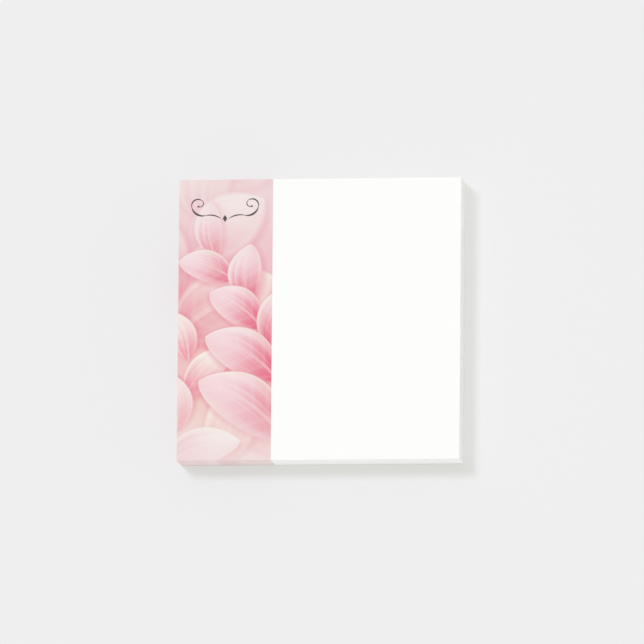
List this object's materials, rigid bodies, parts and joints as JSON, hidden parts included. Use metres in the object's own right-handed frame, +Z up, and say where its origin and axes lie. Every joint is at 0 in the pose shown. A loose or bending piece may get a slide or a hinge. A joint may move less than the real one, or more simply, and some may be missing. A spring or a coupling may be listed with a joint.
{
  "type": "sticky note pad",
  "caption": "Square pad of paper notes, each stuck to the one below along one edge, on a plain backing sheet.",
  "frame": {"origin": "middle of the underside, on the surface that the pad lies on", "axes": "+Z up through the thickness, +Y towards the glued edge, +X to the right as the notes are read"},
  "size_m": [0.0762, 0.0762, 0.0101],
  "materials": {
    "note_paper": "uncoated, with a printed strip along the left third of each note",
    "backing_paper": "uncoated"
  },
  "bodies": {
    "root": {"notes": "note_paper", "backing_sheet": "backing_paper"}
  },
  "joints": []
}
